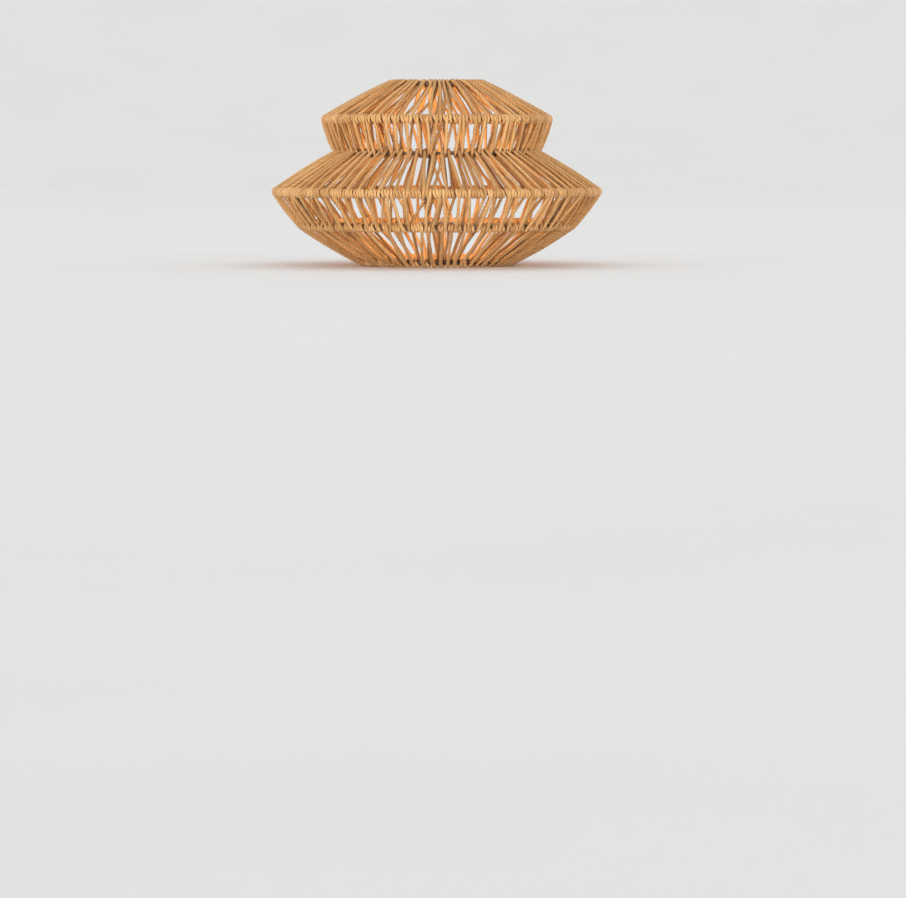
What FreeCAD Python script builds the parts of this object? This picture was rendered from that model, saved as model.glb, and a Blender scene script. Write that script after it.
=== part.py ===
"""Cord-wound lamp shade: a welded wire frame with five tiers of paper cord wound between six rings.

Millimetres, +Z up. The origin is the centre of the shade's lowest plane, where it stands on its bottom
ring.
The shade is round about Z. Every winding is one closed solid of the outer shape that its cord takes up.
"""
import FreeCAD, Part
import math
import os

# Driving dimensions of the frame, from top to bottom: name, radius and height of each ring's centreline
RINGS = [
    ("ring_top", 69.0, 275.3),
    ("ring_shoulder", 169.5, 222.4),
    ("ring_waist", 150.0, 171.0),
    ("ring_brim", 245.0, 112.3),
    ("ring_lower", 206.0, 61.6),
    ("ring_bottom", 115.5, 7.5),
]
WINDINGS = ["winding_crown", "winding_neck", "winding_roof", "winding_belly", "winding_foot"]
RING_WIRE_R = 2.5
CORD_DIAMETER = 5.0
CORD_BOW = 1.6  # how far the cords stand out at the middle of a tier
FIT_GAP = 0.3  # between a winding and the wires it holds

RIB_COUNT = 6
FIRST_RIB_DEG = 26.0
RIB_WIRE_R = 2.0
RIB_END = 3.0  # a rib runs this far past the end rings
RIB_SLOT_WIDTH = 5.2
RIB_SLOT_CLEARANCE = 0.9  # above a rib, where the cords pass over it
RIB_SLOT_OVERRUN = 1.5  # past the cords at both ends of a tier

ARM_COUNT = 3
ARM_WIRE_R = 2.0
ARM_SLOT_R = 2.6
FIRST_ARM_DEG = 90.0
LOWER = 4  # the place of ring_lower, which carries the arms

FITTER_BORE_R = 20.5
FITTER_OUTER_R = 28.5
FITTER_THICKNESS = 2.0
ARM_INNER_END_R = 22.0

SKIN = RING_WIRE_R + CORD_DIAMETER  # from a ring's centreline to the cord's outer and inner faces
NOTCH_R = RING_WIRE_R + FIT_GAP
RIB_OFFSET = RING_WIRE_R + RIB_WIRE_R
Z_AXIS = FreeCAD.Vector(0, 0, 1)
ORIGIN = FreeCAD.Vector(0, 0, 0)


def centre(place):
    """The centre of one ring's wire in the XZ half-plane."""
    radius, height = RINGS[place][1:]
    return FreeCAD.Vector(radius, 0, height)


def run(tier):
    """The unit direction down a tier, from its upper ring to its lower one."""
    return (centre(tier + 1) - centre(tier)).normalize()


def outward(tier):
    """The unit normal of a tier's surface, pointing out of the shade."""
    along = run(tier)
    return FreeCAD.Vector(-along.z, 0, along.x)


def bisector(place):
    """The unit direction, pointing out, that halves the corner between the two tiers at a shared ring."""
    return (outward(place - 1) + outward(place)).normalize()


def is_shared(place):
    """True for a ring that two tiers meet at."""
    return 0 < place < len(RINGS) - 1


def is_ridge(place):
    """True where the corner at a shared ring stands out, and False where it goes in."""
    return run(place - 1).cross(run(place)).y > 0


def save(shape, name):
    """Writes one node's STEP file and prints its volume."""
    shape.exportStep("parts/" + name + ".step")
    print(name, "solids", len(shape.Solids), "valid", shape.isValid(), "cm3", round(shape.Volume / 1000, 2))


def turned(shape, degrees):
    """A copy of a shape turned about Z."""
    copy = shape.copy()
    copy.rotate(ORIGIN, Z_AXIS, degrees)
    return copy


def arc(start, middle, end):
    """An edge on the arc through three points."""
    return Part.Arc(start, middle, end).toShape()


def end_corner(tier, place, side):
    """One corner of a winding's section at a shared ring, on its outer (side +1) or inner (side -1) face.

    Returns the point where the straight face ends, the edges from it to the notch for the ring's wire, and
    the notch's end point. The two windings at a shared ring part at its bisector, FIT_GAP apart.
    """
    middle = centre(place)
    normal = outward(tier) * side
    into = run(tier) if place == tier else run(tier) * -1
    halving = bisector(place) * side
    inwards = into - halving * into.dot(halving)
    inwards.normalize()
    shift = inwards * (FIT_GAP / 2)
    notch_end = middle + shift + halving * math.sqrt(NOTCH_R**2 - (FIT_GAP / 2) ** 2)
    if is_ridge(place) == (side > 0):
        rim = middle + shift + halving * math.sqrt(SKIN**2 - (FIT_GAP / 2) ** 2)
        face_end = middle + normal * SKIN
        halfway = middle + ((rim - middle) + (face_end - middle)).normalize() * SKIN
        edges = [arc(face_end, halfway, rim), Part.makeLine(rim, notch_end)]
    else:
        face_end = middle + shift + halving * (SKIN / halving.dot(normal))
        edges = [Part.makeLine(face_end, notch_end)]
    return face_end, edges, notch_end


def ring_end(tier, place):
    """One end of a winding's section: its last outer point, the edges inwards, its last inner point."""
    middle = centre(place)
    into = run(tier) if place == tier else run(tier) * -1
    if not is_shared(place):
        outer = middle + outward(tier) * SKIN
        inner = middle - outward(tier) * SKIN
        return outer, [arc(outer, middle - into * SKIN, inner)], inner
    outer, outer_edges, notch_start = end_corner(tier, place, 1)
    inner, inner_edges, notch_end = end_corner(tier, place, -1)
    toward = bisector(place).cross(FreeCAD.Vector(0, 1, 0))
    if toward.dot(into) < 0:
        toward = toward * -1
    notch = arc(notch_start, middle + toward * NOTCH_R, notch_end)
    return outer, outer_edges + [notch] + inner_edges[::-1], inner


def bowed(start, end, normal):
    """A face's line from ring to ring, bowed by CORD_BOW along normal."""
    return arc(start, (start + end) * 0.5 + normal * CORD_BOW, end)


def winding(tier):
    """One tier's winding: a section turned about Z, with room cut for the ribs, arms and end ring."""
    upper_out, upper_edges, upper_in = ring_end(tier, tier)
    lower_out, lower_edges, lower_in = ring_end(tier, tier + 1)
    outer_face = bowed(upper_out, lower_out, outward(tier))
    inner_face = Part.makeLine(upper_in, lower_in)
    loop = Part.Wire(Part.__sortEdges__(upper_edges + lower_edges + [outer_face, inner_face]))
    solid = Part.Face(loop).revolve(ORIGIN, Z_AXIS, 360)
    solid = Part.Solid(solid.Shells[0]) if solid.ShapeType == "Shell" else solid
    cutters = rib_slots(tier)
    for place in (tier, tier + 1):
        if not is_shared(place):
            cutters.append(ring_shape(place, NOTCH_R))
    if LOWER in (tier, tier + 1):
        cutters.extend(arm_shapes(ARM_SLOT_R, ARM_INNER_END_R, RINGS[LOWER][1]))
    return solid.cut(cutters).Solids


def rib_slots(tier):
    """The grooves in a winding's inner face where the ribs lie."""
    top = -(RING_WIRE_R - RIB_SLOT_CLEARANCE)
    bottom = -(SKIN + CORD_DIAMETER)
    start = centre(tier) - run(tier) * (SKIN + RIB_SLOT_OVERRUN)
    end = centre(tier + 1) + run(tier) * (SKIN + RIB_SLOT_OVERRUN)
    normal = outward(tier)
    side = FreeCAD.Vector(0, RIB_SLOT_WIDTH / 2, 0)
    corners = [start + normal * top, end + normal * top, end + normal * bottom, start + normal * bottom]
    outline = Part.makePolygon([c - side for c in corners + corners[:1]])
    slot = Part.Face(outline).extrude(side * 2)
    return [turned(slot, angle) for angle in rib_angles()]


def rib_angles():
    """The ribs' places round the shade, in degrees."""
    return [FIRST_RIB_DEG + 360.0 / RIB_COUNT * k for k in range(RIB_COUNT)]


def ring_shape(place, wire_r):
    """A ring of round wire."""
    radius, height = RINGS[place][1:]
    ring = Part.makeTorus(radius, wire_r)
    ring.translate(FreeCAD.Vector(0, 0, height))
    return ring


def rib_corner(place):
    """The start, middle and end of the bend that a rib makes beside a shared ring."""
    halving = bisector(place)
    corner = centre(place) - halving * (RIB_OFFSET / halving.dot(outward(place)))
    half_turn = math.acos(max(-1.0, min(1.0, run(place - 1).dot(run(place))))) / 2
    reach = RIB_OFFSET * math.tan(half_turn)
    before = corner - run(place - 1) * reach
    after = corner + run(place) * reach
    to_axis = (before + after) * 0.5 - corner
    bend_centre = corner + to_axis.normalize() * (RIB_OFFSET / math.cos(half_turn))
    middle = bend_centre + (corner - bend_centre).normalize() * RIB_OFFSET
    return before, middle, after


def rib_shape():
    """One rib: a wire bent at every shared ring, welded to the inner side of all six rings."""
    last = len(RINGS) - 1
    position = centre(0) - outward(0) * RIB_OFFSET - run(0) * RIB_END
    edges = []
    for place in range(1, last):
        before, middle, after = rib_corner(place)
        edges.append(Part.makeLine(position, before))
        edges.append(arc(before, middle, after))
        position = after
    finish = centre(last) - outward(last - 1) * RIB_OFFSET + run(last - 1) * RIB_END
    edges.append(Part.makeLine(position, finish))
    path = Part.Wire(edges)
    section = Part.Wire([Part.makeCircle(RIB_WIRE_R, edges[0].Vertexes[0].Point, run(0))])
    rib = path.makePipeShell([section], True, True)
    print("rib length", round(path.Length, 1), "mm")
    return rib


def arm_shapes(wire_r, inner_r, outer_r):
    """Round bars where the fitter's arms are, from inner_r to outer_r."""
    start = FreeCAD.Vector(inner_r, 0, RINGS[LOWER][2])
    arm = Part.makeCylinder(wire_r, outer_r - inner_r, start, FreeCAD.Vector(1, 0, 0))
    return [turned(arm, FIRST_ARM_DEG + 360.0 / ARM_COUNT * k) for k in range(ARM_COUNT)]


def fitter_ring():
    """The flat ring that a lampholder is clamped through, lying on the arms."""
    seat = FreeCAD.Vector(0, 0, RINGS[LOWER][2] + ARM_WIRE_R)
    disc = Part.makeCylinder(FITTER_OUTER_R, FITTER_THICKNESS, seat)
    return disc.cut(Part.makeCylinder(FITTER_BORE_R, FITTER_THICKNESS, seat))


def main():
    """Builds every piece and writes its file."""
    os.makedirs("parts", exist_ok=True)
    for place, ring in enumerate(RINGS):
        save(ring_shape(place, RING_WIRE_R), ring[0])
    rib = rib_shape()
    for number, angle in enumerate(rib_angles(), start=1):
        save(turned(rib, angle), "rib_%d" % number)
    arm_end_r = RINGS[LOWER][1] - RING_WIRE_R
    for number, arm in enumerate(arm_shapes(ARM_WIRE_R, ARM_INNER_END_R, arm_end_r), start=1):
        save(arm, "fitter_arm_%d" % number)
    save(fitter_ring(), "fitter_ring")
    for tier, name in enumerate(WINDINGS):
        save(Part.Compound(winding(tier)), name)


main()
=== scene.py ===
"""Cord-wound lamp shade: the CAD model's wire frame, with five tiers of paper cord wound on it here.

Metres, +Z up, in the CAD model's frame. The shade is round about Z and stands on its bottom ring.
"""

import logging
import math
from dataclasses import dataclass, field
from enum import Enum

import bpy
import numpy as np
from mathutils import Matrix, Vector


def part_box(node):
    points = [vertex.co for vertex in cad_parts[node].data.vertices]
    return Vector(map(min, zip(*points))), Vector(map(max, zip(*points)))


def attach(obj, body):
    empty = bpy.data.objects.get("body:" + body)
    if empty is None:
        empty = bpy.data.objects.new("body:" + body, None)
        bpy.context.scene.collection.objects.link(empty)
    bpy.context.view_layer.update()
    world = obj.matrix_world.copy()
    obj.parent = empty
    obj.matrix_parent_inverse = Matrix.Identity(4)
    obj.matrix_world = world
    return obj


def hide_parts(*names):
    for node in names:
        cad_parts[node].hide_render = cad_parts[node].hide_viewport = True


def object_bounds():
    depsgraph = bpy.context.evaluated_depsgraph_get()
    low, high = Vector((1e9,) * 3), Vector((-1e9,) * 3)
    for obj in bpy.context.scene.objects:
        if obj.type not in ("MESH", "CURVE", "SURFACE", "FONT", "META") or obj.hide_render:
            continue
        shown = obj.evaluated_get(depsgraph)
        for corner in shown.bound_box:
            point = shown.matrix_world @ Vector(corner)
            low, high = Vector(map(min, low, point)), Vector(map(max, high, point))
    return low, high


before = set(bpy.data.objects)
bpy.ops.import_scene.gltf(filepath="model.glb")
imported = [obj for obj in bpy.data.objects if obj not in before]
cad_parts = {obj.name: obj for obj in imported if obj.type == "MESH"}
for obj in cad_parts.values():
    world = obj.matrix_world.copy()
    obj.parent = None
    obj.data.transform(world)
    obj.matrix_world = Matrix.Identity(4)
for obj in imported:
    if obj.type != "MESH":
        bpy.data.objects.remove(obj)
CAD_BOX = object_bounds()

MM = 0.001
TURN = 2.0 * math.pi
ROOT = "root"
RING_NAMES = ("ring_top", "ring_shoulder", "ring_waist", "ring_brim", "ring_lower", "ring_bottom")

Socket = bpy.types.NodeSocket
Triple = tuple[float, float, float]  # a colour, a scale or a place

log = logging.getLogger("lamp_shade")


# ---------------------------------------------------------------------------------- shared formulas


def smoothstep(value: np.ndarray) -> np.ndarray:
    """An S-curve from 0 to 1: 3x^2 - 2x^3, held at 0 before it and at 1 after it."""
    held = np.clip(value, 0.0, 1.0)
    return held * held * (3.0 - 2.0 * held)


def wander(along: np.ndarray, spacing: float, rng: np.random.Generator) -> np.ndarray:
    """Smooth random wander along a cord, in about -1..1: random knots at even spacing, joined by S-curves.

    Args:
        along: distance along the cord at each sample.
        spacing: distance between knots.
        rng: the seeded source of the knots.

    Returns:
        One value per sample.
    """
    knots = rng.uniform(-1.0, 1.0, int(along[-1] / spacing) + 3)
    place = along / spacing
    low = place.astype(int)
    blend = smoothstep(place - low)
    return knots[low] * (1.0 - blend) + knots[low + 1] * blend


def unit(vectors: np.ndarray) -> np.ndarray:
    """Each vector divided by its length."""
    return vectors / np.linalg.norm(vectors, axis=-1, keepdims=True)


def mesh_object(name: str, vertices: np.ndarray, faces: list[np.ndarray], smooth: list[bool],
                attributes: dict[str, np.ndarray] | None = None) -> bpy.types.Object:
    """A mesh object at the origin, made from whole arrays.

    Args:
        name: the object's name.
        vertices: (n, 3) places.
        faces: groups of faces, each an (m, corners) array of vertex numbers.
        smooth: whether each group is shaded smooth.
        attributes: values at the vertices by attribute name, (n,) for numbers and (n, 3) for vectors.

    Returns:
        The new object, linked to the scene.
    """
    mesh = bpy.data.meshes.new(name)
    corners = np.concatenate([group.ravel() for group in faces]).astype(np.int32)
    sizes = np.concatenate([np.full(len(group), group.shape[1]) for group in faces])
    starts = np.concatenate([[0], np.cumsum(sizes)[:-1]]).astype(np.int32)
    mesh.vertices.add(len(vertices))
    mesh.loops.add(len(corners))
    mesh.polygons.add(len(sizes))
    mesh.vertices.foreach_set("co", vertices.astype(np.float32).ravel())
    mesh.loops.foreach_set("vertex_index", corners)
    mesh.polygons.foreach_set("loop_start", starts)
    shading = np.concatenate([np.full(len(group), flag) for group, flag in zip(faces, smooth)])
    mesh.polygons.foreach_set("use_smooth", shading)
    mesh.update(calc_edges=True)
    for key, values in (attributes or {}).items():
        vector = values.ndim == 2
        layer = mesh.attributes.new(key, "FLOAT_VECTOR" if vector else "FLOAT", "POINT")
        layer.data.foreach_set("vector" if vector else "value", values.astype(np.float32).ravel())
    made = bpy.data.objects.new(name, mesh)
    bpy.context.scene.collection.objects.link(made)
    return made


# ----------------------------------------------------------------------------------------- finishes


class NodeSheet:
    """A material's node tree with short calls for its nodes and links."""

    def __init__(self, name: str) -> None:
        """Starts an empty material with a Principled shader."""
        self.material = bpy.data.materials.new(name)
        self.material.use_nodes = True
        self.nodes = self.material.node_tree.nodes
        self.nodes.clear()
        self.shader = self.nodes.new("ShaderNodeBsdfPrincipled")
        output = self.nodes.new("ShaderNodeOutputMaterial")
        self.link(self.shader.outputs["BSDF"], output.inputs["Surface"])

    def link(self, start: Socket, end: Socket) -> None:
        """Links an output to an input."""
        self.material.node_tree.links.new(start, end)

    def attribute(self, name: str) -> bpy.types.Node:
        """A node that reads one of the piece's own attributes."""
        node = self.nodes.new("ShaderNodeAttribute")
        node.attribute_name = name
        return node

    def object_place(self) -> Socket:
        """The Object coordinates of a surface point."""
        return self.nodes.new("ShaderNodeTexCoord").outputs["Object"]

    def stretched(self, place: Socket, scale: Triple) -> Socket:
        """Coordinates scaled along each axis by a Mapping node."""
        node = self.nodes.new("ShaderNodeMapping")
        node.inputs["Scale"].default_value = scale
        self.link(place, node.inputs["Vector"])
        return node.outputs["Vector"]

    def noise(self, place: Socket, scale: float, detail: float, roughness: float = 0.5) -> Socket:
        """A noise pattern's value, about 0.5 on average."""
        node = self.nodes.new("ShaderNodeTexNoise")
        node.inputs["Scale"].default_value = scale
        node.inputs["Detail"].default_value = detail
        node.inputs["Roughness"].default_value = roughness
        self.link(place, node.inputs["Vector"])
        return node.outputs["Fac"]

    def cells(self, place: Socket, scale: float) -> Socket:
        """The distance to the nearest of a cloud of random points."""
        node = self.nodes.new("ShaderNodeTexVoronoi")
        node.inputs["Scale"].default_value = scale
        self.link(place, node.inputs["Vector"])
        return node.outputs["Distance"]

    def remap(self, value: Socket, start: tuple[float, float], end: tuple[float, float]) -> Socket:
        """A value carried from one range to another, and held at its ends."""
        node = self.nodes.new("ShaderNodeMapRange")
        node.inputs["From Min"].default_value, node.inputs["From Max"].default_value = start
        node.inputs["To Min"].default_value, node.inputs["To Max"].default_value = end
        self.link(value, node.inputs["Value"])
        return node.outputs["Result"]

    def ramp(self, value: Socket, stops: list[tuple[float, Triple]]) -> Socket:
        """A colour read from a ramp of (place, colour) stops."""
        node = self.nodes.new("ShaderNodeValToRGB")
        elements = node.color_ramp.elements
        while len(elements) < len(stops):
            elements.new(0.5)
        for element, (place, colour) in zip(elements, stops):
            element.position = place
            element.color = (*colour, 1.0)
        self.link(value, node.inputs["Fac"])
        return node.outputs["Color"]

    def mix(self, factor: Socket | float, first: Socket, second: Socket | Triple,
            blend: str = "MIX") -> Socket:
        """Two colours mixed by a factor, each a socket or a fixed colour."""
        node = self.nodes.new("ShaderNodeMix")
        node.data_type = "RGBA"
        node.blend_type = blend
        for name, value in (("Factor_Float", factor), ("A_Color", first), ("B_Color", second)):
            socket = next(item for item in node.inputs if item.identifier == name)
            if isinstance(value, Socket):
                self.link(value, socket)
            else:
                socket.default_value = value if isinstance(value, float) else (*value, 1.0)
        return next(item for item in node.outputs if item.identifier == "Result_Color")

    def bump(self, height: Socket, strength: float, depth: float, under: Socket | None = None) -> Socket:
        """A bumped normal, laid over another one when it's given."""
        node = self.nodes.new("ShaderNodeBump")
        node.inputs["Strength"].default_value = strength
        node.inputs["Distance"].default_value = depth
        self.link(height, node.inputs["Height"])
        if under is not None:
            self.link(under, node.inputs["Normal"])
        return node.outputs["Normal"]


@dataclass(frozen=True)
class PaperCordFinish:
    """Golden-tan twisted paper: matte, mottled along the strand, with painted shade darkening the creases
    between its plies.
    """

    shade: Triple = (0.345, 0.163, 0.051)
    middle: Triple = (0.56, 0.312, 0.12)
    pale: Triple = (0.70, 0.447, 0.207)
    # the colour multiplied into the creases between the plies: painted shade
    crease_shade_colour: Triple = (0.46, 0.30, 0.17)
    grain_colour: Triple = (0.72, 0.68, 0.62)
    fibre_scale: Triple = (1500.0, 1500.0, 110.0)
    blotch_scale: Triple = (260.0, 260.0, 34.0)
    streak_share: float = 0.4
    grain_share: float = 0.75
    crease_shade_share: float = 0.55
    roughness: tuple[float, float] = (0.92, 0.74)
    specular: float = 0.3
    sheen: float = 0.07
    sheen_roughness: float = 0.45
    blotch_depth: float = 0.35 * MM
    fibre_depth: float = 0.18 * MM

    def material(self) -> bpy.types.Material:
        """The cord's material, laid out along the strands by the piece's own attributes."""
        sheet = NodeSheet("paper_cord")
        strand = sheet.attribute("strand").outputs["Vector"]
        crease_shade_mask = sheet.attribute("crease_shade_mask").outputs["Fac"]
        tone = sheet.attribute("tone").outputs["Fac"]
        fibre = sheet.noise(sheet.stretched(strand, self.fibre_scale), 1.0, 4.0, 0.6)
        blotch = sheet.noise(sheet.stretched(strand, self.blotch_scale), 1.0, 3.0, 0.55)
        streaks = sheet.ramp(blotch, [(0.25, self.shade), (0.5, self.middle), (0.78, self.pale)])
        by_pass = sheet.ramp(tone, [(0.0, self.shade), (0.5, self.middle), (1.0, self.pale)])
        body = sheet.mix(self.streak_share, by_pass, streaks)
        grain = sheet.ramp(fibre, [(0.3, self.grain_colour), (0.62, (1.0, 1.0, 1.0))])
        grained = sheet.mix(self.grain_share, body, grain, "MULTIPLY")
        # painted shade: the creases between the plies are darkened by the crease shade colour
        crease_shade_amount = sheet.remap(crease_shade_mask, (0.35, 1.0), (0.0, self.crease_shade_share))
        crease_shaded = sheet.mix(1.0, grained, self.crease_shade_colour, "MULTIPLY")
        sheet.link(sheet.mix(crease_shade_amount, grained, crease_shaded), sheet.shader.inputs["Base Color"])
        sheet.link(sheet.remap(fibre, (0.3, 0.7), self.roughness), sheet.shader.inputs["Roughness"])
        sheet.shader.inputs["Sheen Weight"].default_value = self.sheen
        sheet.shader.inputs["Sheen Roughness"].default_value = self.sheen_roughness
        sheet.shader.inputs["Specular IOR Level"].default_value = self.specular
        coarse = sheet.bump(blotch, 0.35, self.blotch_depth)
        sheet.link(sheet.bump(fibre, 0.5, self.fibre_depth, coarse), sheet.shader.inputs["Normal"])
        return sheet.material


class Coat(Enum):
    """How thickly a frame piece's paint lies, as the depth of its surface ripple in metres."""

    WIRE = 0.05 * MM
    PLATE = 0.08 * MM


@dataclass(frozen=True)
class PaintFinish:
    """Satin paint on steel, with a fine ripple, faint rubbing and a little paper dust."""

    name: str
    coat: Coat
    paint: Triple
    rubbed: Triple
    dust: Triple = (0.20, 0.145, 0.09)
    rub_scale: float = 140.0
    speck_scale: float = 900.0
    ripple_scale: float = 620.0
    roughness: tuple[float, float] = (0.34, 0.52)
    specular: float = 0.5

    def material(self) -> bpy.types.Material:
        """The paint's material on Object coordinates."""
        sheet = NodeSheet(self.name)
        place = sheet.object_place()
        rub = sheet.noise(place, self.rub_scale, 5.0, 0.6)
        speck = sheet.noise(place, self.speck_scale, 3.0, 0.65)
        ripple = sheet.cells(place, self.ripple_scale)
        base = sheet.ramp(rub, [(0.38, self.paint), (0.72, self.rubbed)])
        dusty = sheet.remap(speck, (0.56, 0.78), (0.0, 0.5))
        sheet.link(sheet.mix(dusty, base, self.dust), sheet.shader.inputs["Base Color"])
        sheet.link(sheet.remap(rub, (0.3, 0.7), self.roughness), sheet.shader.inputs["Roughness"])
        sheet.shader.inputs["Specular IOR Level"].default_value = self.specular
        sheet.link(sheet.bump(ripple, 0.4, self.coat.value), sheet.shader.inputs["Normal"])
        return sheet.material


@dataclass(frozen=True)
class StudioFinish:
    """The floor's plain pale matte paper."""

    colour: Triple = (0.94, 0.94, 0.935)
    darkest: float = 0.98
    patch_scale: float = 3.0
    roughness: float = 0.9
    specular: float = 0.1

    def material(self) -> bpy.types.Material:
        """The floor's material, with a trace of unevenness."""
        sheet = NodeSheet("studio_floor")
        uneven = sheet.noise(sheet.object_place(), self.patch_scale, 2.0)
        darker = tuple(self.darkest * part for part in self.colour)
        colour = sheet.ramp(uneven, [(0.3, darker), (0.7, self.colour)])
        sheet.link(colour, sheet.shader.inputs["Base Color"])
        sheet.shader.inputs["Roughness"].default_value = self.roughness
        sheet.shader.inputs["Specular IOR Level"].default_value = self.specular
        return sheet.material


# --------------------------------------------------------------------------------------- wire frame


@dataclass(frozen=True)
class Ring:
    """A ring of round wire."""

    name: str
    radius: float
    height: float
    wire_r: float

    @classmethod
    def from_node(cls, name: str) -> "Ring":
        """The ring of one CAD node, measured from its box."""
        low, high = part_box(name)
        wire_r = (high.z - low.z) / 2.0
        return cls(name, (high.x - low.x) / 2.0 - wire_r, (high.z + low.z) / 2.0, wire_r)

    def centre(self) -> np.ndarray:
        """The wire's centre in the half-plane of radius and height."""
        return np.array([self.radius, self.height])


@dataclass
class WireFrame:
    """The welded frame: rings, ribs, fitter arms and the fitter ring, all shown from the CAD model."""

    arm_ring: str = "ring_lower"
    rings: list[Ring] = field(default_factory=list)
    ribs: np.ndarray = field(default_factory=lambda: np.empty(0))
    arms: np.ndarray = field(default_factory=lambda: np.empty(0))
    rib_r: float = 0.0

    def measure(self) -> None:
        """Reads the rings, the ribs' and the arms' directions in radians, and their wire's radius."""
        self.rings = [Ring.from_node(name) for name in RING_NAMES]
        self.ribs = self._directions("rib_")
        self.arms = self._directions("fitter_arm_")
        low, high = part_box("fitter_arm_1")
        self.rib_r = (high.z - low.z) / 2.0

    def _directions(self, prefix: str) -> np.ndarray:
        """The directions from the axis, from 0 to 2 pi and in order, of the pieces with this prefix."""
        boxes = [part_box(name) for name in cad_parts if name.startswith(prefix)]
        return np.sort([math.atan2(low.y + high.y, low.x + high.x) % TURN for low, high in boxes])

    def posts(self, ring: Ring) -> np.ndarray:
        """The directions in which a rib or an arm leaves a ring's inner side, in radians."""
        return np.sort(np.concatenate([self.ribs, self.arms])) if ring.name == self.arm_ring else self.ribs

    def dress(self) -> None:
        """Gives every frame piece its paint."""
        brown = PaintFinish("frame_wire", Coat.WIRE, (0.105, 0.056, 0.028), (0.19, 0.115, 0.062))
        black = PaintFinish("fitter_plate", Coat.PLATE, (0.030, 0.026, 0.023), (0.085, 0.075, 0.066))
        wire = brown.material()
        plate = black.material()
        for name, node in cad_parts.items():
            if name.startswith("winding"):
                continue
            node.data.materials.clear()
            node.data.materials.append(plate if name == "fitter_ring" else wire)
            log.info("%s: painted, %d faces", name, len(node.data.polygons))


# ----------------------------------------------------------------------------------------- windings


@dataclass(frozen=True)
class Cord:
    """A three-ply twisted paper cord."""

    diameter: float = 5.0 * MM
    lay: float = 21.0 * MM
    plies: int = 3
    sides: int = 12
    crease_depth: float = 0.13
    uneven: float = 0.04

    @property
    def radius(self) -> float:
        """Half the diameter."""
        return self.diameter / 2.0


@dataclass(frozen=True)
class Tier:
    """One tier of the winding, between an upper and a lower ring."""

    name: str
    upper: Ring
    lower: Ring
    loops: int
    lean: float

    @property
    def length(self) -> float:
        """The distance between the two rings' wires."""
        return float(np.linalg.norm(self.lower.centre() - self.upper.centre()))

    @property
    def along(self) -> np.ndarray:
        """The unit direction down the tier, in the half-plane of radius and height."""
        return (self.lower.centre() - self.upper.centre()) / self.length

    @property
    def outward(self) -> np.ndarray:
        """The unit normal of the tier's surface, pointing out of the shade."""
        return np.array([-self.along[1], self.along[0]])


class RingSeats:
    """The seats round one ring, each a place for one turn of cord.

    On the ring's inner side the cords part for every post that leaves it there. On its outer side
    they're spread evenly over the same stretch, so that no gap shows.
    """

    SLACK = 0.1 * MM  # between a post and the cord beside it
    SQUEEZE = 0.90  # the room that a packed cord takes on the inner side, in diameters

    def __init__(self, ring: Ring, posts: np.ndarray, post_r: float, cord: Cord) -> None:
        """Lays the seats out between the posts.

        Args:
            ring: the ring.
            posts: the posts' directions in radians, in order.
            post_r: the posts' wire radius.
            cord: the cord that's wound on the ring.
        """
        self.ring = ring
        radius = ring.radius - ring.wire_r - cord.radius
        span = np.append(posts[1:], posts[0] + TURN) - posts
        clear = (post_r + cord.radius + self.SLACK) / radius
        counts = np.floor((span - 2.0 * clear) * radius / (self.SQUEEZE * cord.diameter)).astype(int) + 1
        bay = np.repeat(np.arange(len(posts)), counts)
        place = np.arange(len(bay)) - np.repeat(np.cumsum(counts) - counts, counts)
        self.outer = posts[bay] + span[bay] * (place + 0.5) / counts[bay]
        self.inner = posts[bay] + clear + (span[bay] - 2.0 * clear) * place / (counts[bay] - 1)
        self.count = len(bay)

    def azimuth(self, seat: np.ndarray, inside: np.ndarray) -> np.ndarray:
        """The direction of a seat, from its outer place (inside 0) to its inner one (inside 1)."""
        low = np.floor(seat).astype(int)
        part = seat - low
        places = []
        for table in (self.outer, self.inner):
            here, there = (table[k % self.count] + TURN * (k // self.count) for k in (low, low + 1))
            places.append(here * (1.0 - part) + there * part)
        return places[0] * (1.0 - inside) + places[1] * inside

    def take(self, wanted: list[np.ndarray], spare: int) -> list[tuple[np.ndarray, np.ndarray]]:
        """Shares the seats out among the cords that come to the ring.

        Every visit takes the free seat nearest the direction it wants, and then the free seats up to
        the next visit, by turning round the ring again.

        Args:
            wanted: for each tier, the directions of its visits in radians, in order.
            spare: the most extra seats that a visit takes.

        Returns:
            For each tier, the first and the last seat of every visit.
        """
        directions = np.concatenate(wanted)
        owner = np.repeat(np.arange(len(wanted)), [len(each) for each in wanted])
        order = np.argsort(directions, kind="stable")
        table = np.concatenate([self.outer - TURN, self.outer, self.outer + TURN])
        seats = np.interp(directions[order], table, np.arange(-self.count, 2 * self.count))
        rank = np.arange(len(order))
        first = np.maximum.accumulate(np.rint(seats).astype(int) - rank) + rank
        first = np.minimum(first, first[0] + self.count - len(order) + rank)
        last = np.minimum(np.append(first[1:], first[0] + self.count) - 1, first + spare)
        return [(first[owner[order] == k], last[owner[order] == k]) for k in range(len(wanted))]


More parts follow.
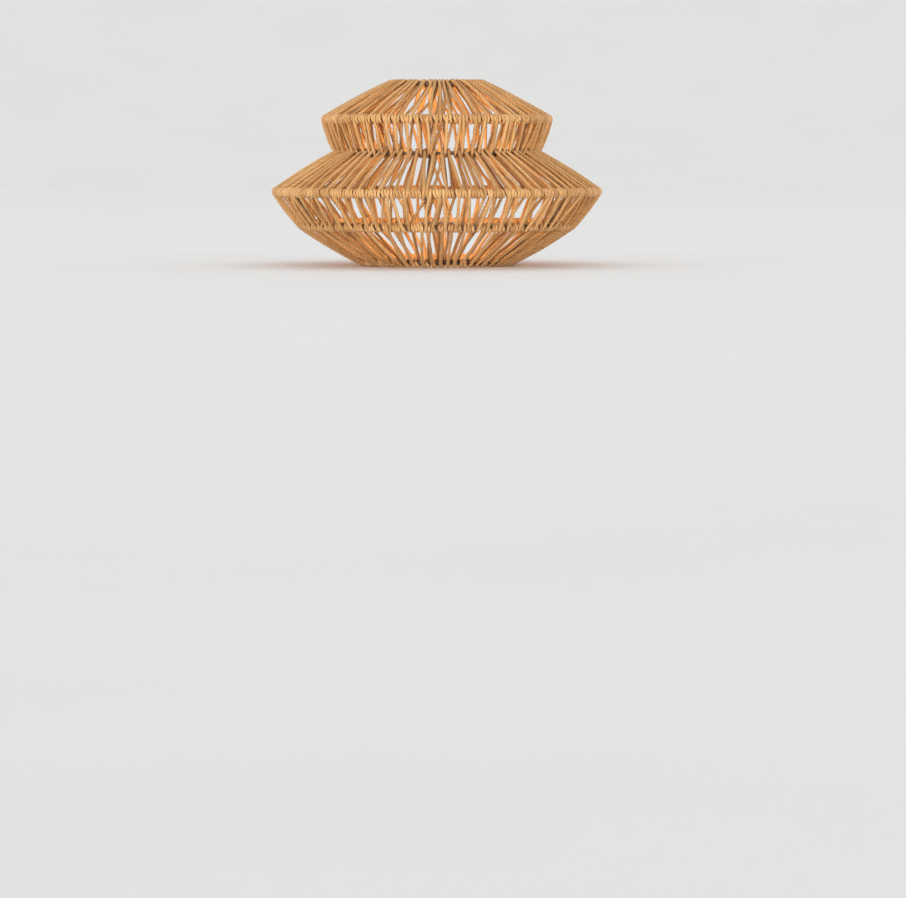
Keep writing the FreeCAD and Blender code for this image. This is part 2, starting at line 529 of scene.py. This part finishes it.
@dataclass
class CordWindings:
    """The five tiers of cord, each one length of cord looped over two rings.

    A loop runs down the outside, turns round the lower ring, comes back up the inside and turns round
    the upper one.
    """

    wires: WireFrame
    cord: Cord = Cord()
    names: tuple[str, ...] = ("crown", "neck", "roof", "belly", "foot")
    loops: tuple[int, ...] = (58, 72, 80, 80, 62)
    leans: tuple[float, ...] = (0.15, 0.30, 0.20, 0.25, 0.20)
    spare_seats: tuple[int, ...] = (9, 9, 0, 9, 9, 9)
    jitter: float = 0.23
    bow: tuple[float, float] = (0.6 * MM, 2.2 * MM)
    sag: float = 0.9 * MM
    sway: float = 0.9 * MM
    sway_spacing: float = 38.0 * MM
    sway_in_depth: float = 0.4  # a share of the sideways sway
    sway_easing: int = 2  # samples to either side
    rib_pull_reach: float = 0.9  # how far off a rib draws an outer pass over it, in cord diameters
    push_easing: int = 3  # samples to either side
    push_gain: float = 1.1  # makes up for what the easing takes off
    inward_start: float = 0.75  # a turn starts to part for the posts at this cosine
    inward_span: float = 1.1
    tone_mean: float = 0.46
    tone_spread: float = 0.30
    thickness_spacing: float = 45.0 * MM
    pass_step: float = 2.8 * MM
    turn_step: float = 1.8 * MM
    most_samples: int = 8000
    seed: int = 7

    def build(self) -> list[bpy.types.Object]:
        """Winds every tier.

        Returns:
            The cord pieces, in order from the top.
        """
        rng = np.random.default_rng(self.seed)
        rings = self.wires.rings
        tiers = [Tier(name, rings[k], rings[k + 1], self.loops[k], self.leans[k])
                 for k, name in enumerate(self.names)]
        wanted = [self._wanted(tier, rng) for tier in tiers]
        visits = {}
        for k, ring in enumerate(rings):
            seats = RingSeats(ring, self.wires.posts(ring), self.wires.rib_r, self.cord)
            meeting = [(j, end) for j, end in ((k - 1, 1), (k, 0)) if 0 <= j < len(tiers)]
            taken = seats.take([wanted[j][end] for j, end in meeting], self.spare_seats[k])
            for (j, end), (first, last) in zip(meeting, taken):
                visits[j, end] = (seats, first, last)
        pieces = []
        for k, tier in enumerate(tiers):
            neighbours = [tiers[j] if 0 <= j < len(tiers) else tier for j in (k - 1, k + 1)]
            path = self._wind(tier, visits[k, 0], visits[k, 1], neighbours, rng)
            pieces.extend(self._tubes(tier, *path))
        return pieces

    def _wanted(self, tier: Tier, rng: np.random.Generator) -> tuple[np.ndarray, np.ndarray]:
        """The directions in which a tier's loops want to meet its upper and lower ring.

        They're even, with a jitter, and the loop nearest each rib is laid over it.
        """
        pitch = TURN / tier.loops
        even = pitch * (np.arange(tier.loops) + 0.5)
        jitter = self.jitter * pitch
        upper = even + rng.uniform(-jitter, jitter, tier.loops)
        lower = even + tier.lean * pitch + rng.uniform(-jitter, jitter, tier.loops)
        over_rib = np.rint(self.wires.ribs / pitch - 0.5 - 0.5 * tier.lean).astype(int) % tier.loops
        upper[over_rib] = self.wires.ribs
        lower[over_rib] = self.wires.ribs
        return np.sort(upper), np.sort(lower)

    def _wind(self, tier: Tier, upper: tuple, lower: tuple, neighbours: list[Tier],
              rng: np.random.Generator) -> tuple[np.ndarray, np.ndarray, np.ndarray, np.ndarray]:
        """The cord's centre line round one tier.

        In the half-plane of radius and height, u runs down the tier from the upper ring's wire and v
        points out. The outer pass is v = reach with a shallow bow, the inner pass is v = -reach with a
        shallow sag, and a turn is an arc of radius reach about the wire's centre, of half a turn plus one
        turn for every extra seat. The direction round the shade moves from seat to seat while the cord is
        on a ring's outer side, and evenly along a pass.

        Args:
            tier: the tier.
            upper: the upper ring's seats, and the first and last seat of each visit.
            lower: the same for the lower ring.
            neighbours: the tiers above and below, or this tier itself at an end ring.
            rng: the seeded source of the unevenness.

        Returns:
            The line's points, and at each its direction round the shade, the distance along the cord and
            the tone from 0 to 1.
        """
        upper_seats, upper_first, upper_last = upper
        lower_seats, lower_first, lower_last = lower
        next_first = np.append(upper_first[1:], upper_first[0] + upper_seats.count)
        next_last = np.append(upper_last[1:], upper_last[0] + upper_seats.count)
        reach = tier.upper.wire_r + self.cord.radius
        none = np.zeros(tier.loops, int)
        extra = np.stack([none, lower_last - lower_first, none, next_last - next_first], 1).ravel()
        is_turn = np.tile([False, True, False, True], tier.loops)
        lengths = np.where(is_turn, reach * (math.pi + TURN * extra), tier.length)
        counts = np.ceil(lengths / np.where(is_turn, self.turn_step, self.pass_step)).astype(int)
        ends = np.cumsum(counts)
        sample = np.arange(ends[-1] + 1)
        part = np.minimum(np.searchsorted(ends, sample, side="right"), len(ends) - 1)
        share = (sample - (ends - counts)[part]) / counts[part]
        along = (np.cumsum(lengths) - lengths)[part] + share * lengths[part]
        kind = part % 4
        loop = part // 4

        angle = share * (math.pi + TURN * extra[part])
        sine = np.sin(angle)
        cosine = np.cos(angle)
        hump = 4.0 * share * (1.0 - share)
        bow = rng.uniform(*self.bow, tier.loops)[loop] * hump
        sag = rng.uniform(0.0, self.sag, tier.loops)[loop] * hump
        choose = [kind == 0, kind == 1, kind == 2, kind == 3]
        u = np.select(choose, [share * tier.length, tier.length + reach * sine, (1.0 - share) * tier.length,
                               -reach * sine])
        v = np.select(choose, [reach + bow, reach * cosine, -reach - sag, -reach * cosine])

        inside_low = self._inside(tier, neighbours[1], sine, cosine)
        inside_high = self._inside(tier, neighbours[0], -sine, -cosine)
        inside = np.select(choose, [0.0 * share, inside_low, 0.0 * share + 1.0, inside_high])
        down = (angle + math.pi / 2.0) / TURN
        up = (angle - math.pi / 2.0) / TURN
        down_seat = np.floor(down) - 1.0 + smoothstep(2.0 * (down - np.floor(down)))
        up_seat = np.floor(up) + smoothstep(2.0 * (up - np.floor(up)))
        low = np.select(choose, [lower_first[loop], lower_first[loop] + np.clip(down_seat, 0, extra[part]),
                                 lower_last[loop], lower_last[loop]])
        high = np.select(choose, [upper_last[loop], next_first[loop], next_first[loop],
                                  next_first[loop] + np.clip(up_seat, 0, extra[part])])
        lowness = np.select(choose, [share, 0.0 * share + 1.0, 1.0 - share, 0.0 * share])
        azimuth = (lower_seats.azimuth(low, inside) * lowness
                   + upper_seats.azimuth(high, inside) * (1.0 - lowness))

        window = np.where(kind % 2 == 0, np.sqrt(hump), 0.0)
        swing = self.sway * window * wander(along, self.sway_spacing, rng)
        gap = self._from_rib(azimuth) * (tier.upper.radius + u * tier.along[0])
        pull = gap * window * np.exp(-((gap / (self.rib_pull_reach * self.cord.diameter)) ** 2))
        swing = swing - np.where(kind == 0, pull, 0.0)
        v = v + self.sway_in_depth * self.sway * window * wander(along, self.sway_spacing, rng)
        radius = tier.upper.radius + u * tier.along[0] + v * tier.outward[0]
        azimuth = self._eased(azimuth + swing / radius, self.sway_easing)
        v = v - self._over_ribs(azimuth, radius, v, kind == 2)
        place = tier.upper.centre() + u[:, None] * tier.along + v[:, None] * tier.outward
        points = np.stack([place[:, 0] * np.cos(azimuth), place[:, 0] * np.sin(azimuth), place[:, 1]], 1)
        middles = np.cumsum(lengths) - 0.5 * lengths
        tones = np.clip(rng.normal(self.tone_mean, self.tone_spread, len(middles)), 0.0, 1.0)
        tone = np.interp(along, middles, tones)
        return points, azimuth, along, tone

    def _inside(self, tier: Tier, neighbour: Tier, down: np.ndarray, out: np.ndarray) -> np.ndarray:
        """How far a turn's point is round to the ring's inner side, from 0 to 1.

        Args:
            tier: the tier that's wound.
            neighbour: the tier on the ring's other side.
            down: the part of the point's direction from the wire that runs down the tier.
            out: the part of it that points out.

        Returns:
            An S-curve of the direction's lean away from the line that halves the two tiers' outer corner.
        """
        halving = unit(tier.outward + neighbour.outward)
        facing = down * float(tier.along @ halving) + out * float(tier.outward @ halving)
        return smoothstep((self.inward_start - facing) / self.inward_span)

    def _over_ribs(self, azimuth: np.ndarray, radius: np.ndarray, v: np.ndarray,
                   inner: np.ndarray) -> np.ndarray:
        """How far an inner pass is pushed in to lie over a rib instead of through it.

        The cord's centre keeps one contact radius from the rib's centre line, which lies beside the rings'
        wires: its depth is the line's depth plus the square root of contact^2 - distance^2.
        """
        rib_r = self.wires.rib_r
        contact = rib_r + self.cord.radius
        line_depth = self.wires.rings[0].wire_r + rib_r
        height = np.sqrt(np.clip(contact**2 - (self._from_rib(azimuth) * radius) ** 2, 0.0, None))
        push = np.where(inner & (height > 0.0), np.clip(line_depth + height + v, 0.0, None), 0.0)
        return self._eased(push, self.push_easing) * self.push_gain

    def _from_rib(self, azimuth: np.ndarray) -> np.ndarray:
        """The angle from the nearest rib to each direction, in radians."""
        gaps = (azimuth[:, None] - self.wires.ribs[None, :] + math.pi) % TURN - math.pi
        return np.take_along_axis(gaps, np.argmin(np.abs(gaps), 1)[:, None], 1)[:, 0]

    def _eased(self, values: np.ndarray, reach: int) -> np.ndarray:
        """Values averaged with their neighbours, the nearest counting most, with both ends kept."""
        weights = np.bartlett(2 * reach + 3)[1:-1]
        padded = np.pad(values, reach, mode="edge")
        eased = np.convolve(padded, weights / weights.sum(), mode="valid")
        eased[0], eased[-1] = values[0], values[-1]
        return eased

    def _tubes(self, tier: Tier, points: np.ndarray, azimuth: np.ndarray, along: np.ndarray,
               tone: np.ndarray) -> list[bpy.types.Object]:
        """The cord's mesh: a lobed section carried along the centre line, turned by the lay of its plies.

        The section's radius at angle a is r (1 - depth (1 - |cos(plies a / 2)|)). Its first axis is the
        direction round the shade, made square to the line, and its second axis is the cross product of the
        line's direction and the first.

        Args:
            tier: the tier.
            points: the centre line.
            azimuth: each point's direction round the shade.
            along: each point's distance along the cord.
            tone: each point's tone.

        Returns:
            The cord's pieces, the line cut into even parts of at most about most_samples sections. The
            cord's pieces, each short enough for its file.
        """
        rng = np.random.default_rng(self.seed + len(tier.name))
        tangent = unit(np.gradient(points, axis=0))
        around = np.stack([-np.sin(azimuth), np.cos(azimuth), np.zeros_like(azimuth)], 1)
        first = unit(around - np.sum(around * tangent, 1, keepdims=True) * tangent)
        second = np.cross(tangent, first)
        thickness = self.cord.radius * (1.0 + self.cord.uneven * wander(along, self.thickness_spacing, rng))
        corner = TURN * np.arange(self.cord.sides) / self.cord.sides
        lobe = np.abs(np.cos(0.5 * self.cord.plies * corner))
        section = 1.0 - self.cord.crease_depth * (1.0 - lobe)
        twisted = corner[None, :] + (TURN * along / self.cord.lay)[:, None]
        spread = thickness[:, None] * section[None, :]
        surface = (points[:, None, :] + (spread * np.cos(twisted))[..., None] * first[:, None, :]
                   + (spread * np.sin(twisted))[..., None] * second[:, None, :])
        shape = surface.shape[:2]
        distance = np.broadcast_to(along[:, None], shape)
        strand = np.stack([spread * np.cos(corner), spread * np.sin(corner), distance], 2)
        # where the plies meet, the mask for the painted shade in the creases
        crease_shade_mask = np.broadcast_to(1.0 - lobe, shape)
        tones = np.broadcast_to(tone[:, None], shape)
        parts = math.ceil(len(points) / self.most_samples)
        cuts = np.linspace(0, len(points) - 1, parts + 1).astype(int)
        pieces = []
        for number, (start, end) in enumerate(zip(cuts[:-1], cuts[1:]), start=1):
            cut = slice(start, end + 1)
            marks = {"strand": strand[cut].reshape(-1, 3), "crease_shade_mask": crease_shade_mask[cut].ravel(),
                     "tone": tones[cut].ravel()}
            piece = mesh_object("cord_%s_%d" % (tier.name, number), surface[cut].reshape(-1, 3),
                                self._faces(end + 1 - start), [True, False], marks)
            piece["tier"] = tier.name
            pieces.append(piece)
        log.info("winding_%s: %d loops, %.2f m of cord in %d pieces",
                 tier.name, tier.loops, along[-1], parts)
        return pieces

    def _faces(self, rows: int) -> list[np.ndarray]:
        """The quads between neighbouring sections, and the two end faces."""
        sides = self.cord.sides
        row = np.arange(rows - 1)[:, None] * sides
        here = np.arange(sides)[None, :]
        there = (here + 1) % sides
        quads = np.stack([row + here, row + there, row + sides + there, row + sides + here], 2)
        caps = np.stack([np.arange(sides)[::-1], (rows - 1) * sides + np.arange(sides)])
        return [quads.reshape(-1, 4), caps]

    def dress(self, pieces: list[bpy.types.Object]) -> None:
        """Puts the paper finish on the cord pieces, and puts them in the place of the CAD windings."""
        paper = PaperCordFinish().material()
        for piece in pieces:
            piece.data.materials.append(paper)
            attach(piece, ROOT)
            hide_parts("winding_" + piece["tier"])
            log.info("%s: %d faces", piece.name, len(piece.data.polygons))


# ------------------------------------------------------------------------------------------- studio


def leave_unlit(lamp: bpy.types.Object, thing: bpy.types.Object) -> None:
    """Keeps a lamp's light off one thing."""
    unlit = bpy.data.collections.new(lamp.name + "_unlit")
    unlit.objects.link(thing)
    unlit.collection_objects[0].light_linking.link_state = "EXCLUDE"
    lamp.light_linking.receiver_collection = unlit


@dataclass(frozen=True)
class SoftLight:
    """A square area light that looks at the shade, with its light kept within a spread angle.

    A light that passes the floor by leaves it evenly pale.
    """

    name: str
    place: Triple
    side: float
    power: float
    spread_deg: float = 180.0
    passes_floor: bool = False

    def build(self, target: np.ndarray, floor: bpy.types.Object) -> None:
        """Adds the light, turned to face the target."""
        data = bpy.data.lights.new(self.name, "AREA")
        data.size = self.side
        data.energy = self.power
        data.spread = math.radians(self.spread_deg)
        lamp = bpy.data.objects.new(self.name, data)
        lamp.location = self.place
        away = np.array(self.place) - target
        lamp.rotation_euler = (math.atan2(math.hypot(away[0], away[1]), away[2]), 0.0,
                               math.atan2(away[1], away[0]) + math.pi / 2.0)
        lamp.visible_camera = False
        bpy.context.scene.collection.objects.link(lamp)
        if self.passes_floor:
            leave_unlit(lamp, floor)


@dataclass
class Studio:
    """The pale floor that curves up all round, the soft lights, the glow in the shade and the camera."""

    flat_radius: float = 7.5
    flat_steps: int = 30
    curve_radius: float = 3.0
    curve_steps: int = 25
    wall_height: float = 5.0
    sectors: int = 96
    camera_distance: float = 5.94
    camera_height: float = 0.194
    camera_down_deg: float = 4.583
    camera_right_deg: float = 0.236
    lens: float = 154.2
    sensor_width: float = 36.0
    view_reach: float = 60.0
    glow_height: float = 0.13
    glow_power: float = 2.1
    glow_radius: float = 0.03
    glow_colour: Triple = (1.0, 0.62, 0.27)
    world_colour: Triple = (1.0, 1.0, 1.0)
    world_strength: float = 0.86
    lights: tuple[SoftLight, ...] = (
        SoftLight("overhead", (-0.8, -1.2, 5.2), 4.5, 1.0),
        SoftLight("front_left", (-3.2, -5.8, 0.2), 2.0, 142.0, 90.0, True),
        SoftLight("front_right", (3.6, -5.8, 0.2), 2.0, 100.0, 90.0, True),
        SoftLight("back_left", (-4.4, 5.0, 0.6), 2.0, 90.0, 90.0, True),
        SoftLight("back_right", (4.4, 5.0, 0.6), 2.0, 90.0, 90.0, True),
    )

    def build(self) -> None:
        """Sets the studio up."""
        self._light(self._floor())
        self._camera()

    def _floor(self) -> bpy.types.Object:
        """The floor: a flat disc, a quarter-round sweep and an upright wall, turned about Z."""
        sectors = self.sectors
        sweep = np.linspace(0.0, math.pi / 2.0, self.curve_steps)
        flat = np.linspace(0.0, self.flat_radius, self.flat_steps)[1:-1]
        radius = np.concatenate([flat, self.flat_radius + self.curve_radius * np.sin(sweep)])
        height = np.concatenate([0.0 * flat, self.curve_radius * (1.0 - np.cos(sweep))])
        radius = np.append(radius, radius[-1])
        height = np.append(height, self.wall_height)
        azimuth = TURN * np.arange(sectors) / sectors
        rings = np.stack([radius[:, None] * np.cos(azimuth), radius[:, None] * np.sin(azimuth),
                          np.broadcast_to(height[:, None], (len(radius), sectors))], 2)
        vertices = np.concatenate([[[0.0, 0.0, 0.0]], rings.reshape(-1, 3)])
        row = np.arange(len(radius) - 1)[:, None] * sectors + 1
        here = np.arange(sectors)[None, :]
        there = (here + 1) % sectors
        quads = np.stack([row + here, row + sectors + here, row + sectors + there, row + there], 2)
        hub = np.stack([0 * here[0], here[0] + 1, there[0] + 1], 1)
        floor = mesh_object("floor", vertices, [quads.reshape(-1, 4), hub], [True, True])
        floor.data.materials.append(StudioFinish().material())
        log.info("floor: %d faces", len(floor.data.polygons))
        return floor

    def _light(self, floor: bpy.types.Object) -> None:
        """The pale world, the area lights, and the small warm light where the bulb burns."""
        world = bpy.data.worlds.new("studio")
        world.use_nodes = True
        background = world.node_tree.nodes["Background"]
        background.inputs["Color"].default_value = (*self.world_colour, 1.0)
        background.inputs["Strength"].default_value = self.world_strength
        bpy.context.scene.world = world
        target = np.array([0.0, 0.0, 0.5 * (CAD_BOX[0][2] + CAD_BOX[1][2])])
        for light in self.lights:
            light.build(target, floor)
        data = bpy.data.lights.new("bulb_glow", "POINT")
        data.energy = self.glow_power
        data.color = self.glow_colour
        data.shadow_soft_size = self.glow_radius
        glow = bpy.data.objects.new("bulb_glow", data)
        glow.location = (0.0, 0.0, self.glow_height)
        glow.visible_camera = False
        bpy.context.scene.collection.objects.link(glow)
        leave_unlit(glow, floor)

    def _camera(self) -> None:
        """A long lens a little above the shade's middle, tilted down and turned slightly to the right."""
        data = bpy.data.cameras.new("camera")
        data.lens = self.lens
        data.sensor_width = self.sensor_width
        data.clip_end = self.view_reach
        camera = bpy.data.objects.new("camera", data)
        camera.location = (0.0, -self.camera_distance, self.camera_height)
        camera.rotation_euler = (math.radians(90.0 - self.camera_down_deg), 0.0,
                                 -math.radians(self.camera_right_deg))
        bpy.context.scene.collection.objects.link(camera)
        bpy.context.scene.camera = camera


def main() -> None:
    """Builds the studio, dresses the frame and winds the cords."""
    logging.basicConfig(level=logging.INFO, format="%(name)s %(message)s")
    bpy.context.scene.view_settings.view_transform = "Standard"
    Studio().build()
    wires = WireFrame()
    wires.measure()
    wires.dress()
    windings = CordWindings(wires)
    windings.dress(windings.build())


if __name__ == "__main__":
    main()
